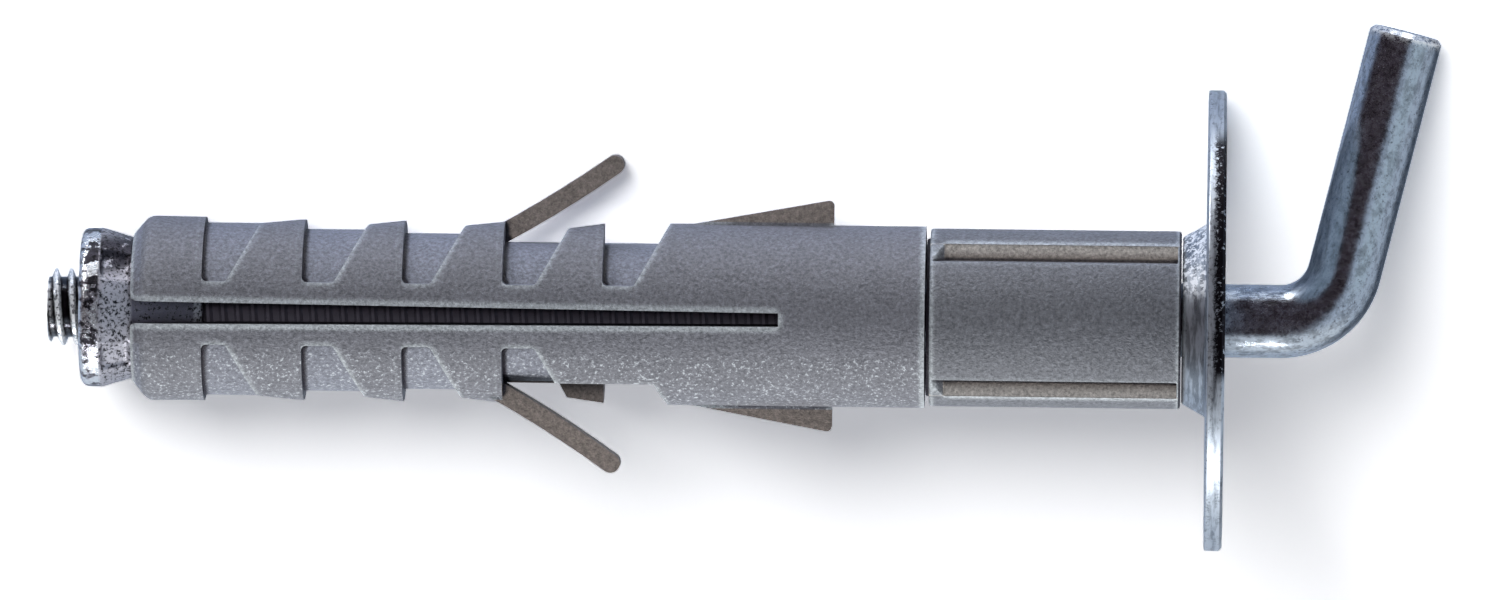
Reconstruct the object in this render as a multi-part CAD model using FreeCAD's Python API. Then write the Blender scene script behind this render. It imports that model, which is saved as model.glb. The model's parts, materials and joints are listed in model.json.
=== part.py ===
"""Hook wall plug: a nylon expansion plug that a screw hook pulls open against a cone nut.

Five separate pieces sit on one axis. From the tip: a die-cast cone nut, a slotted nylon plug
with saw teeth, two locking tongues and two anti-rotation fins, a grooved nylon spacer sleeve,
a pressed cover washer with a conical collar, and the hook bolt that runs through them all.

Each piece is drawn in the bolt's frame: x = 0 is the wall face of the cover washer, +x points
out of the wall, +y points along the hook's arm, and +z faces the plug's front slot. The slots
lie in the plane y = 0 and the mould parts in the plane z = 0.
The finished pieces are then laid down as they come to rest on a table, +Z up: on the rim of the
washer, on the edge of the plug's mouth and on the tip of the hook.
"""
import FreeCAD
import Part
import math
import os

# Hook bolt, a bent round bar with a rolled thread (mm, degrees)
THREAD_D = 5.15
THREAD_LENGTH = 52.0
TIP_CHAMFER = 0.4
BAR_D = 4.9
SHANK_OUTSIDE = 3.75
BEND_RADIUS = 4.35
ARM_LEAN = 13.8
ARM_LENGTH = 16.55
ARM_END_BEVEL = 0.3
RUNNING_CLEARANCE = 0.08

# Cover washer, pressed from sheet
WASHER_D = 30.7
WASHER_SHEET = 1.2
WASHER_EDGE_BEVEL = 0.2
COLLAR_FACE_D = 11.1
COLLAR_ROOT_D = 12.9
COLLAR_DEPTH = 1.6

# Spacer sleeve
SLEEVE_D = 11.85
SLEEVE_LENGTH = 16.94
SPIGOT_D = 10.5
SPIGOT_LENGTH = 0.22
SLEEVE_BEVEL = 0.12
GROOVE_OFFSET = 4.5
GROOVE_WIDTH = 1.1
GROOVE_FLOOR_HEIGHT = 2.85
GROOVE_RUN_OUT = 1.0
GROOVE_RIM = 0.25

# Expansion plug
PLUG_D = 12.1
PLUG_MOUTH_D = 12.34
PLUG_LENGTH = 52.8
MOUTH_FACE_WIDTH = 0.12
MOUTH_BEVEL_LENGTH = 1.0
MOUTH_EDGE_ROUND = 0.9
SLOT_LENGTH = 43.1
SLOT_MOUTH_WIDTH = 1.5
SLOT_END_WIDTH = 0.9
SLOT_MOUTH_ROUND = 0.35

# Saw teeth above and below the solid bands beside the slots, from the mouth to the rear
FIRST_TOOTH_LENGTH = 4.78
TOOTH_PITCH = 6.65
TOOTH_TIP_FALL = 0.4
TOOTH_TIP_DROP = 0.05
BAND_HALF_WIDTH = 2.1
NOTCH_FLOOR_LENGTHS = (1.6, 2.1, 1.9, 2.2, 2.1)
NOTCH_FLOOR_DIAMETERS = (11.5, 10.8, 10.4, 9.4, 9.2)
NOTCH_CORNER_ROUND = 0.35
NOTCH_SLANT = 29.5

# Locking tongues, and the flat beds that they are pressed into
TONGUE_LENGTH = 9.2
TONGUE_THICKNESS = 1.27
TONGUE_WIDTH = 2.4
TONGUE_OFFSET = 0.1
TONGUE_ROOT_HEIGHT = 5.3
TONGUE_ROOT_DEPTH = 0.8
TONGUE_ROOT_ANGLE = 28.5
TONGUE_CURL = 7.0
TONGUE_BED_HEIGHT = 4.5

# Anti-rotation fins
FIN_LENGTH = 10.4
FIN_HEIGHT = 1.7
FIN_THICKNESS = 1.2
FIN_FROM_REAR = 6.15
FIN_CORNER_ROUND = 0.35

# Cone nut
NUT_LENGTH = 8.25
NUT_RIM_D = 10.66
NUT_RIM_WIDTH = 1.5
NUT_RIM_ROUND = 0.55
NUT_MOUTH_BEVEL = 0.3
NUT_TAPER = 17.0
POCKET_ANGLE = 38.0
POCKET_LENGTH = 1.9
POCKET_WIDTH = 2.1
POCKET_DEPTH = 0.4

# How the pieces stand to each other on the bolt
WASHER_GAP = 0.08
SLEEVE_GAP = 0.08
NUT_OUTSIDE_PLUG = 3.5
NUT_SEAT_CLEARANCE = 0.12
BOLT_BEYOND_NUT = 2.2

# Radii and stations along the axis, worked out from the sizes above
BAR_R = BAR_D / 2
THREAD_R = THREAD_D / 2
BORE_R = max(BAR_R, THREAD_R) + RUNNING_CLEARANCE
PLUG_R = PLUG_D / 2
COLLAR_FACE_X = -COLLAR_DEPTH
SLEEVE_OUTER_X = COLLAR_FACE_X - WASHER_GAP
SLEEVE_INNER_X = SLEEVE_OUTER_X - SLEEVE_LENGTH
PLUG_REAR_X = SLEEVE_INNER_X - SLEEVE_GAP
PLUG_MOUTH_X = PLUG_REAR_X - PLUG_LENGTH
MOUTH_EDGE_X = PLUG_MOUTH_X + MOUTH_BEVEL_LENGTH
FIRST_NOTCH_X = PLUG_MOUTH_X + FIRST_TOOTH_LENGTH
NUT_FACE_X = PLUG_MOUTH_X - NUT_OUTSIDE_PLUG
NUT_FLANK_X = NUT_FACE_X + NUT_RIM_WIDTH
NUT_NOSE_X = NUT_FACE_X + NUT_LENGTH
BOLT_TIP_X = NUT_FACE_X - BOLT_BEYOND_NUT
BEND_START_X = WASHER_SHEET + SHANK_OUTSIDE

NOTCH_COUNT = len(NOTCH_FLOOR_LENGTHS)
TONGUE_NOTCH = NOTCH_COUNT - 2
TAPER_SLOPE = math.tan(math.radians(NUT_TAPER))
SLANT_SLOPE = math.tan(math.radians(NOTCH_SLANT))
CUT_REACH = 2 * PLUG_D

ORIGIN = FreeCAD.Vector(0, 0, 0)
X_AXIS = FreeCAD.Vector(1, 0, 0)
Y_AXIS = FreeCAD.Vector(0, 1, 0)
Z_AXIS = FreeCAD.Vector(0, 0, 1)


def at(x, y, z=0.0):
    """A point in the bolt's frame."""
    return FreeCAD.Vector(x, y, z)


def heading(degrees):
    """The direction in the x-y plane at an angle from +x."""
    angle = math.radians(degrees)
    return at(math.cos(angle), math.sin(angle))


def corner_arc(before, here, after, radius):
    """The start, middle, end and centre of the arc that rounds a corner."""
    back = (before - here).normalize()
    ahead = (after - here).normalize()
    inward = (back + ahead).normalize()
    half_angle = back.getAngle(ahead) / 2
    reach = radius / math.tan(half_angle)
    depth = radius / math.sin(half_angle)
    middle = here + inward * (depth - radius)
    return here + back * reach, middle, here + ahead * reach, here + inward * depth


def rounded_outline(corners):
    """A face in the x-y plane from (x, y, radius) corners, each rounded by an arc of its radius."""
    count = len(corners)
    points = [at(x, y) for x, y, radius in corners]
    stretches = []
    for i in range(count):
        radius = corners[i][2]
        if radius > 0:
            arc = corner_arc(points[i - 1], points[i], points[(i + 1) % count], radius)
            stretches.append(arc[:3])
        else:
            stretches.append((points[i], None, points[i]))
    edges = []
    for i in range(count):
        first, middle, last = stretches[i]
        if middle is not None:
            edges.append(Part.Arc(first, middle, last).toShape())
        following = stretches[(i + 1) % count][0]
        if last.distanceToPoint(following) > 1e-6:
            edges.append(Part.makeLine(last, following))
    return Part.Face(Part.Wire(edges))


def turned(corners):
    """A solid turned about the x axis from (x, radius, corner radius) points."""
    return rounded_outline(corners).revolve(ORIGIN, X_AXIS, 360)


def prism(corners, z_low, z_high):
    """A prism between two heights over an outline of (x, y, corner radius) points."""
    face = rounded_outline(corners)
    face.translate(Z_AXIS * z_low)
    return face.extrude(Z_AXIS * (z_high - z_low))


def turned_about_axis(shape, degrees):
    """A copy of a shape, turned about the bolt's axis."""
    copy = shape.copy()
    copy.rotate(ORIGIN, X_AXIS, degrees)
    return copy


def with_half_turn(shapes):
    """The shapes and their copies half a turn round the bolt's axis."""
    return shapes + [turned_about_axis(shape, 180) for shape in shapes]


def one_solid(shape, name):
    """The single solid of a finished piece, with faces that share a surface merged."""
    solids = shape.removeSplitter().Solids
    if len(solids) != 1:
        raise ValueError(f"the {name} came out as {len(solids)} solids")
    return solids[0]


def arm_start():
    """Where the bend ends and the straight arm starts."""
    turn = math.radians(90 - ARM_LEAN)
    return at(BEND_START_X + BEND_RADIUS * math.sin(turn), BEND_RADIUS * (1 - math.cos(turn)))


def hook_bolt():
    """The bar: threaded end, plain shank, tight bend and leaning arm."""
    thread_end_x = BOLT_TIP_X + THREAD_LENGTH
    straight = turned([
        (BOLT_TIP_X, 0, 0),
        (BOLT_TIP_X, THREAD_R - TIP_CHAMFER, 0),
        (BOLT_TIP_X + TIP_CHAMFER, THREAD_R, 0),
        (thread_end_x, THREAD_R, 0),
        (thread_end_x + abs(THREAD_R - BAR_R), BAR_R, 0),
        (BEND_START_X, BAR_R, 0),
        (BEND_START_X, 0, 0),
    ])
    bend_centre = at(BEND_START_X, BEND_RADIUS)
    section = Part.Face(Part.Wire([Part.makeCircle(BAR_R, at(BEND_START_X, 0), X_AXIS)]))
    bend = section.revolve(bend_centre, Z_AXIS, 90 - ARM_LEAN)
    direction = heading(90 - ARM_LEAN)
    arm = Part.makeCylinder(BAR_R, ARM_LENGTH, arm_start(), direction)
    arm_end = arm_start() + direction * ARM_LENGTH
    rim = [edge for edge in arm.Edges if edge.BoundBox.Center.distanceToPoint(arm_end) < 0.01]
    arm = arm.makeChamfer(ARM_END_BEVEL, rim)
    return one_solid(straight.fuse([bend, arm]), "hook bolt")


def cover_washer():
    """A sheet washer, bevelled outside, with a hollow conical collar pressed towards the sleeve."""
    wall_slope = (COLLAR_ROOT_D - COLLAR_FACE_D) / 2 / COLLAR_DEPTH
    wall_shift = WASHER_SHEET * (math.sqrt(1 + wall_slope ** 2) - wall_slope)
    floor_x = COLLAR_FACE_X + WASHER_SHEET
    rim = WASHER_D / 2
    return one_solid(turned([
        (COLLAR_FACE_X, BORE_R, 0),
        (COLLAR_FACE_X, COLLAR_FACE_D / 2, 0),
        (0, COLLAR_ROOT_D / 2, 0),
        (0, rim, 0),
        (WASHER_SHEET - WASHER_EDGE_BEVEL, rim, 0),
        (WASHER_SHEET, rim - WASHER_EDGE_BEVEL, 0),
        (WASHER_SHEET, COLLAR_ROOT_D / 2 - wall_shift, 0),
        (floor_x, COLLAR_FACE_D / 2 - wall_shift, 0),
        (floor_x, BORE_R, 0),
    ]), "cover washer")


def groove_cutter():
    """One long groove above the parting plane, with a slanted start and a square end."""
    radius = SLEEVE_D / 2
    inner_edge = GROOVE_OFFSET - GROOVE_WIDTH / 2
    surface = math.sqrt(radius ** 2 - inner_edge ** 2)
    ramp = (surface - GROOVE_FLOOR_HEIGHT) / GROOVE_RUN_OUT
    start_x = SLEEVE_INNER_X + SPIGOT_LENGTH + SLEEVE_BEVEL
    end_x = SLEEVE_OUTER_X - GROOVE_RIM
    block = prism([
        (start_x + GROOVE_RUN_OUT, GROOVE_FLOOR_HEIGHT, 0),
        (end_x, GROOVE_FLOOR_HEIGHT, 0),
        (end_x, GROOVE_FLOOR_HEIGHT + SLEEVE_D, 0),
        (start_x + GROOVE_RUN_OUT - SLEEVE_D / ramp, GROOVE_FLOOR_HEIGHT + SLEEVE_D, 0),
    ], -GROOVE_WIDTH / 2, GROOVE_WIDTH / 2)
    block.rotate(ORIGIN, X_AXIS, 90)
    block.translate(Y_AXIS * GROOVE_OFFSET)
    return block


def spacer_sleeve():
    """A plain-bored sleeve with a low spigot and four grooves that stop at its outer rim."""
    radius = SLEEVE_D / 2
    shoulder_x = SLEEVE_INNER_X + SPIGOT_LENGTH
    body = turned([
        (SLEEVE_INNER_X, BORE_R, 0),
        (SLEEVE_INNER_X, SPIGOT_D / 2, 0),
        (shoulder_x, SPIGOT_D / 2, 0),
        (shoulder_x, radius - SLEEVE_BEVEL, 0),
        (shoulder_x + SLEEVE_BEVEL, radius, 0),
        (SLEEVE_OUTER_X - SLEEVE_BEVEL, radius, 0),
        (SLEEVE_OUTER_X, radius - SLEEVE_BEVEL, 0),
        (SLEEVE_OUTER_X, BORE_R, 0),
    ])
    upper = groove_cutter()
    lower = upper.mirror(ORIGIN, Y_AXIS)
    return one_solid(body.cut(with_half_turn([upper, lower])), "spacer sleeve")


def nut_radius(x):
    """The radius of the nut's cone at a station on the axis."""
    return NUT_RIM_D / 2 - (x - NUT_FLANK_X) * TAPER_SLOPE


def cone_nut():
    """A cone with a rolled rim, four shallow pockets behind the rim and a threaded bore."""
    rim = NUT_RIM_D / 2
    body = turned([
        (NUT_FACE_X, BORE_R + NUT_MOUTH_BEVEL, 0),
        (NUT_FACE_X, rim, NUT_RIM_ROUND),
        (NUT_FLANK_X, rim, 0),
        (NUT_NOSE_X, nut_radius(NUT_NOSE_X), 0),
        (NUT_NOSE_X, BORE_R, 0),
        (NUT_FACE_X + NUT_MOUTH_BEVEL, BORE_R, 0),
    ])
    pocket = Part.makeBox(POCKET_LENGTH, POCKET_WIDTH, NUT_RIM_D)
    pocket.translate(at(0, -POCKET_WIDTH / 2))
    pocket.rotate(ORIGIN, Y_AXIS, NUT_TAPER)
    pocket.translate(at(NUT_FLANK_X, 0, rim - POCKET_DEPTH))
    pockets = with_half_turn([
        turned_about_axis(pocket, POCKET_ANGLE),
        turned_about_axis(pocket, -POCKET_ANGLE),
    ])
    return one_solid(body.cut(pockets), "cone nut")


def notch_cutter(index, z_low, z_high):
    """The cutter for one notch over the upper band: steep face, round floor, slanted way out."""
    steep_x = FIRST_NOTCH_X + index * TOOTH_PITCH
    floor_end_x = steep_x + NOTCH_FLOOR_LENGTHS[index]
    floor_radius = NOTCH_FLOOR_DIAMETERS[index] / 2
    last = index == NOTCH_COUNT - 1
    shoulder = PLUG_R if last else PLUG_R - TOOTH_TIP_FALL
    shoulder_x = floor_end_x + (shoulder - BAND_HALF_WIDTH) * SLANT_SLOPE
    corners = [
        (steep_x, BAND_HALF_WIDTH, NOTCH_CORNER_ROUND),
        (floor_end_x, BAND_HALF_WIDTH, NOTCH_CORNER_ROUND),
        (shoulder_x, shoulder, 0),
    ]
    if last:
        corners.append((shoulder_x + PLUG_D * SLANT_SLOPE, PLUG_R + PLUG_D, 0))
    else:
        next_x = steep_x + TOOTH_PITCH
        corners.append((next_x, PLUG_R - TOOTH_TIP_DROP, 0))
        corners.append((next_x, PLUG_R + PLUG_D, 0))
    corners.append((steep_x, PLUG_R + PLUG_D, 0))
    block = prism(corners, z_low, z_high)
    core_start = at(steep_x - TOOTH_PITCH, 0)
    core = Part.makeCylinder(floor_radius, 4 * TOOTH_PITCH, core_start, X_AXIS)
    return block.cut(core)


def tongue_bed_cutter():
    """The flat bed behind the upper band, where the locking tongue lies when it is pressed in."""
    steep_x = FIRST_NOTCH_X + TONGUE_NOTCH * TOOTH_PITCH
    last_floor_x = steep_x + TOOTH_PITCH + NOTCH_FLOOR_LENGTHS[-1]
    bed_end_x = last_floor_x + (TONGUE_BED_HEIGHT - BAND_HALF_WIDTH) * SLANT_SLOPE
    return prism([
        (steep_x, TONGUE_BED_HEIGHT, 0),
        (bed_end_x, TONGUE_BED_HEIGHT, 0),
        (bed_end_x + PLUG_D * SLANT_SLOPE, TONGUE_BED_HEIGHT + PLUG_D, 0),
        (steep_x, TONGUE_BED_HEIGHT + PLUG_D, 0),
    ], -CUT_REACH, 0)


def locking_tongue():
    """The upper tongue: it leaves a tooth's steep face and curls away from the plug."""
    steep_x = FIRST_NOTCH_X + TONGUE_NOTCH * TOOTH_PITCH
    half = TONGUE_THICKNESS / 2
    curl_radius = (TONGUE_LENGTH + TONGUE_ROOT_DEPTH - half) / math.radians(TONGUE_CURL)
    root = at(steep_x, TONGUE_ROOT_HEIGHT) - heading(TONGUE_ROOT_ANGLE) * TONGUE_ROOT_DEPTH
    curl_centre = root + heading(TONGUE_ROOT_ANGLE + 90) * curl_radius

    def on_arc(turn, offset):
        """A point of the tongue, a turn along its curl and an offset outside its middle line."""
        return curl_centre + heading(TONGUE_ROOT_ANGLE - 90 + turn) * (curl_radius + offset)

    def long_side(offset):
        """One of the tongue's two long sides."""
        middle = on_arc(TONGUE_CURL / 2, offset)
        return Part.Arc(on_arc(0, offset), middle, on_arc(TONGUE_CURL, offset)).toShape()

    tip = on_arc(TONGUE_CURL, 0) + heading(TONGUE_ROOT_ANGLE + TONGUE_CURL) * half
    tip_round = Part.Arc(on_arc(TONGUE_CURL, half), tip, on_arc(TONGUE_CURL, -half)).toShape()
    root_end = Part.makeLine(on_arc(0, -half), on_arc(0, half))
    face = Part.Face(Part.Wire([long_side(half), tip_round, long_side(-half), root_end]))
    face.translate(Z_AXIS * -(TONGUE_OFFSET + TONGUE_WIDTH))
    return face.extrude(Z_AXIS * TONGUE_WIDTH)


def anti_rotation_fin():
    """The upper fin: a thin wedge that rises towards the plug's rear end."""
    rear_x = PLUG_REAR_X - FIN_FROM_REAR
    buried = PLUG_R - FIN_HEIGHT / 2
    return prism([
        (rear_x - FIN_LENGTH, buried, 0),
        (rear_x - FIN_LENGTH, PLUG_R - FIN_HEIGHT / 8, 0),
        (rear_x, PLUG_R + FIN_HEIGHT, FIN_CORNER_ROUND),
        (rear_x, buried, 0),
    ], -FIN_THICKNESS / 2, FIN_THICKNESS / 2)


def slot_cutter():
    """The tapering slot that splits the plug from its mouth, with rounded lips at the mouth."""
    end_x = PLUG_MOUTH_X + SLOT_LENGTH
    half_mouth = SLOT_MOUTH_WIDTH / 2
    half_end = SLOT_END_WIDTH / 2
    lip = SLOT_MOUTH_ROUND
    outside_x = PLUG_MOUTH_X - SLOT_MOUTH_WIDTH
    flank = prism([
        (PLUG_MOUTH_X, -half_mouth, 0),
        (end_x, -half_end, 0),
        (end_x, half_end, 0),
        (PLUG_MOUTH_X, half_mouth, 0),
        (outside_x, half_mouth, 0),
        (outside_x, -half_mouth, 0),
    ], -CUT_REACH, CUT_REACH)
    lips = []
    for side in (-1, 1):
        edge = side * half_mouth
        corner = prism([
            (PLUG_MOUTH_X - lip, edge - side * lip, 0),
            (PLUG_MOUTH_X + lip, edge - side * lip, 0),
            (PLUG_MOUTH_X + lip, edge + side * lip, 0),
            (PLUG_MOUTH_X - lip, edge + side * lip, 0),
        ], -CUT_REACH, CUT_REACH)
        centre = at(PLUG_MOUTH_X + lip, edge + side * lip, -CUT_REACH)
        lips.append(corner.cut(Part.makeCylinder(lip, 2 * CUT_REACH, centre, Z_AXIS)))
    return flank.fuse(lips)


def plug_bore_cutter():
    """The bolt's bore, which opens at the mouth into a cone that seats the nut."""
    seat_end_x = NUT_NOSE_X + NUT_SEAT_CLEARANCE / TAPER_SLOPE
    seat_end = nut_radius(seat_end_x) + NUT_SEAT_CLEARANCE
    outside_x = PLUG_MOUTH_X - NUT_RIM_WIDTH
    return turned([
        (outside_x, 0, 0),
        (outside_x, nut_radius(outside_x) + NUT_SEAT_CLEARANCE, 0),
        (seat_end_x, seat_end, 0),
        (seat_end_x + (seat_end - BORE_R), BORE_R, 0),
        (PLUG_REAR_X + SLEEVE_GAP, BORE_R, 0),
        (PLUG_REAR_X + SLEEVE_GAP, 0, 0),
    ])


def mouth_corners():
    """The mouth's outline: its narrow face, its rounded outer edge, and where its swell ends."""
    face = nut_radius(PLUG_MOUTH_X) + NUT_SEAT_CLEARANCE + MOUTH_FACE_WIDTH
    swell_end_x = FIRST_NOTCH_X + TOOTH_PITCH
    return at(PLUG_MOUTH_X, face), at(MOUTH_EDGE_X, PLUG_MOUTH_D / 2), at(swell_end_x, PLUG_R)


def expansion_plug():
    """The moulded nylon plug, one piece with its teeth, tongues and fins."""
    face, edge, swell_end = mouth_corners()
    body = turned([
        (PLUG_MOUTH_X, 0, 0),
        (face.x, face.y, 0),
        (edge.x, edge.y, MOUTH_EDGE_ROUND),
        (swell_end.x, swell_end.y, 0),
        (PLUG_REAR_X, PLUG_R, 0),
        (PLUG_REAR_X, 0, 0),
    ])
    cuts = [notch_cutter(i, -CUT_REACH, CUT_REACH) for i in range(NOTCH_COUNT - 1)]
    cuts.append(notch_cutter(NOTCH_COUNT - 1, 0, CUT_REACH))
    cuts.append(tongue_bed_cutter())
    additions = [locking_tongue(), anti_rotation_fin()]
    shape = body.cut(with_half_turn(cuts))
    shape = shape.fuse(with_half_turn(additions))
    shape = shape.cut([plug_bore_cutter(), slot_cutter()])
    return one_solid(shape, "expansion plug")


def root_between(function, low, high):
    """The value between two bounds where a falling function crosses zero."""
    for _ in range(60):
        middle = (low + high) / 2
        if function(middle) > 0:
            low = middle
        else:
            high = middle
    return (low + high) / 2


def lowest_of_ring(centre, axis, ring_radius, up):
    """The height of the lowest point of a ring, along an upward direction."""
    lean = axis.dot(up)
    return centre.dot(up) - ring_radius * math.sqrt(max(0.0, 1 - lean ** 2))


def washer_contact(up):
    """How low the sharp rim on the washer's wall side reaches."""
    return lowest_of_ring(ORIGIN, X_AXIS, WASHER_D / 2, up)


def mouth_contact(up):
    """How low the rounded outer edge of the plug's mouth reaches."""
    centre = corner_arc(*mouth_corners(), MOUTH_EDGE_ROUND)[-1]
    return lowest_of_ring(at(centre.x, 0), X_AXIS, centre.y, up) - MOUTH_EDGE_ROUND


def hook_contact(up):
    """How low the bevelled tip of the hook's arm reaches."""
    direction = heading(90 - ARM_LEAN)
    side_edge = arm_start() + direction * (ARM_LENGTH - ARM_END_BEVEL)
    end_edge = arm_start() + direction * ARM_LENGTH
    return min(
        lowest_of_ring(side_edge, direction, BAR_R, up),
        lowest_of_ring(end_edge, direction, BAR_R - ARM_END_BEVEL, up),
    )


def upward(tilt, roll):
    """The table's upward direction in the bolt's frame, for a tilt and a roll in degrees."""
    across = math.cos(math.radians(tilt))
    lean = math.radians(roll)
    return at(math.sin(math.radians(tilt)), -math.sin(lean) * across, math.cos(lean) * across)


def resting_angles():
    """The tilt and the roll at which mouth, washer and hook tip all touch the table."""
    tilt = root_between(
        lambda angle: mouth_contact(upward(angle, 0)) - washer_contact(upward(angle, 0)), 0, 45
    )
    roll = root_between(
        lambda angle: hook_contact(upward(tilt, angle)) - washer_contact(upward(tilt, angle)),
        0, 90,
    )
    return tilt, roll


def laid_down(pieces):
    """The pieces as they lie on the table, with the origin under the middle of their box."""
    tilt, roll = resting_angles()
    for piece in pieces.values():
        piece.rotate(ORIGIN, X_AXIS, -roll)
        piece.rotate(ORIGIN, Y_AXIS, -tilt)
    box = Part.makeCompound(list(pieces.values())).optimalBoundingBox(True, False)
    for piece in pieces.values():
        piece.translate(at(-box.Center.x, -box.Center.y, -box.ZMin))
    return pieces


PIECES = laid_down({
    "hook_bolt": hook_bolt(),
    "cover_washer": cover_washer(),
    "spacer_sleeve": spacer_sleeve(),
    "expansion_plug": expansion_plug(),
    "cone_nut": cone_nut(),
})

os.makedirs("parts", exist_ok=True)
for name, piece in PIECES.items():
    piece.exportStep(f"parts/{name}.step")
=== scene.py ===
"""Dresses a hook wall plug: moulded nylon, die-cast zinc and bright zinc-plated steel.

The pieces are modelled in the bolt's own frame: +x out of the wall along the bolt, +y to the
side that the hook's arm points, and +z towards the slot that faces the camera. They are then
placed where the part lies at rest, on a white table under soft studio light.
"""
import json
import math

import bmesh
import bpy
from mathutils import Matrix, Vector


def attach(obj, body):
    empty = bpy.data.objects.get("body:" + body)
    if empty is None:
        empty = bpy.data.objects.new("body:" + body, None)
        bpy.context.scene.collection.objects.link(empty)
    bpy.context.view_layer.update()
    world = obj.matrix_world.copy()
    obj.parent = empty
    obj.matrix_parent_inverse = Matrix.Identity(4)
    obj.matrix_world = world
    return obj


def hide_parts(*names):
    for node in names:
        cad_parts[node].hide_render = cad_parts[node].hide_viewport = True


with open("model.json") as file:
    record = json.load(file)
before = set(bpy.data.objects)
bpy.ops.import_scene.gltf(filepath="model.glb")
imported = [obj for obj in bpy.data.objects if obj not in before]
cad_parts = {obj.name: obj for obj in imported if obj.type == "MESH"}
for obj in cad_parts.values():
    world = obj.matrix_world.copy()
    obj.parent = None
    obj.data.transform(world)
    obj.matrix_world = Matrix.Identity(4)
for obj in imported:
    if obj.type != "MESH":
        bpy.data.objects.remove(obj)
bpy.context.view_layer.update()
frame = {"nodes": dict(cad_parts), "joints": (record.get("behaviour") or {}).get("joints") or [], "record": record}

bl_info = {
    "name": "Hook Wall Plug",
    "version": (1, 0, 0),
    "blender": (4, 5, 0),
    "location": "View3D > Sidebar > Wall Plug",
    "description": "Models the pieces of a nylon wall plug with a screw hook and sets its studio",
    "category": "Add Mesh",
}

MM = 0.001
JOINTS = {joint["name"]: joint for joint in frame["joints"]}
MOUNTS = {mount["name"]: mount for mount in frame["record"]["mounts"]}
NUT_TRAVEL = next(
    coupling for coupling in frame["record"]["behaviour"]["couplings"]
    if coupling["joint"] == "nut_travel"
)


def bolt_frame():
    """The matrix that takes the bolt's frame to where the part lies."""
    along = -Vector(JOINTS["hook_turn"]["axis"]).normalized()
    arm = Vector(MOUNTS["hook_arm"]["axis"])
    side = (arm - along * arm.dot(along)).normalized()
    matrix = Matrix((along, side, along.cross(side))).transposed().to_4x4()
    matrix.translation = Vector(JOINTS["hook_turn"]["pos_m"])
    return matrix


BOLT = bolt_frame()


def local_box(node):
    """The lowest and highest corners of a CAD node, in the bolt's frame."""
    inverse = BOLT.inverted()
    points = [inverse @ vertex.co for vertex in frame["nodes"][node].data.vertices]
    low = Vector([min(point[i] for point in points) for i in range(3)])
    high = Vector([max(point[i] for point in points) for i in range(3)])
    return low, high


BAR_RADIUS = MOUNTS["hook_arm"]["dims"]["r_mm"] * MM
ARM_STRAIGHT = MOUNTS["hook_arm"]["dims"]["length_mm"] * MM
ARM_MIDDLE = BOLT.inverted() @ Vector(MOUNTS["hook_arm"]["pos_m"])
ARM_DIRECTION = (BOLT.to_3x3().inverted() @ Vector(MOUNTS["hook_arm"]["axis"])).normalized()
THREAD_PITCH = NUT_TRAVEL["ratio"] * 2 * math.pi
BOLT_TIP_X = local_box("hook_bolt")[0].x
PLATE_FACE_X = local_box("cover_washer")[1].x
WASHER_RADIUS = local_box("cover_washer")[1].y
NUT_FACE_X = local_box("cone_nut")[0].x
NUT_NOSE_X = local_box("cone_nut")[1].x
PLUG_MOUTH_X = local_box("expansion_plug")[0].x
PLUG_RADIUS = 6.05 * MM
SLEEVE_START_X = local_box("spacer_sleeve")[0].x
SLEEVE_END_X = local_box("spacer_sleeve")[1].x

# The plug's teeth, the flat bed that its tongues lie in, its slot, and the sleeve's spigot and
# grooves
FIRST_NOTCH_X = PLUG_MOUTH_X + 4.78 * MM
TOOTH_PITCH = 6.65 * MM
TOOTH_COUNT = 5
BED_START_X = FIRST_NOTCH_X + 3 * TOOTH_PITCH
BED_END_X = BED_START_X + 10.1 * MM
BED_HEIGHT = 4.5 * MM
TONGUE_FAR_SIDE = -2.5 * MM
NOTCH_SIDE = 2.0 * MM
SLOT_HALF_WIDTH = 0.75 * MM
SPIGOT_LENGTH = 0.22 * MM
GROOVE_OFFSET = 4.5 * MM
GROOVE_HALF_WIDTH = 0.55 * MM
GROOVE_FLOOR_HEIGHT = 2.85 * MM

# The photograph's frame, and how the part stands in it: the slope of its axis, its roll in
# degrees, and the camera's distance in metres
PHOTO_WIDTH = 1510
PHOTO_HEIGHT = 600
PIXELS_PER_MM = 15.0
WALL_FACE_PIXEL = (1206.0, 320.6)
CAMERA_STATION_PIXEL = 1150.0
AXIS_SLOPE = 0.0122
VIEW_ROLL = 3.0
CAMERA_DISTANCE = 1.1

# How a pattern is squeezed before it is drawn, so that its streaks run along the thread, along
# the bent bar, or round the bolt
ALONG_BOLT = (0.1, 1.0, 1.0)
ALONG_HOOK = (0.35, 0.35, 1.0)
ROUND_BOLT = (1.0, 0.15, 0.15)

# A mask's soft edge, the zinc plate's streaks, the grid that the casting is remeshed on, the lumps
# of its skin, and how near to a plane a vertex counts as in it
BLUR = 0.05 * MM
STREAK_MM = 0.3
CAST_VOXEL = 0.14 * MM
CAST_LUMP = 0.7 * MM
IN_PLANE = 0.01 * MM

# The studio: directions in the bolt's frame, towards each light
KEY_FROM = Vector((-0.09, 0.175, 0.975))
ARM_SIDE_FROM = Vector((-0.20, 0.98, -0.30))
NEAR_SIDE_FROM = Vector((0.0, -1.0, 0.08))
NEAR_GLINT_FROM = Vector((-0.15, -0.95, 0.25))
TIP_GLINT_FROM = Vector((-0.5, 0.75, 0.35))

# The studio's greys and strengths, and the table's width in metres
CARD_WHITENESS = 3.05
CARD_GLOW = 0.15
FLAT_GLARE = 7.0
ROOM_LIGHT = 0.22
TABLE_WIDTH = 6.0


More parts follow.
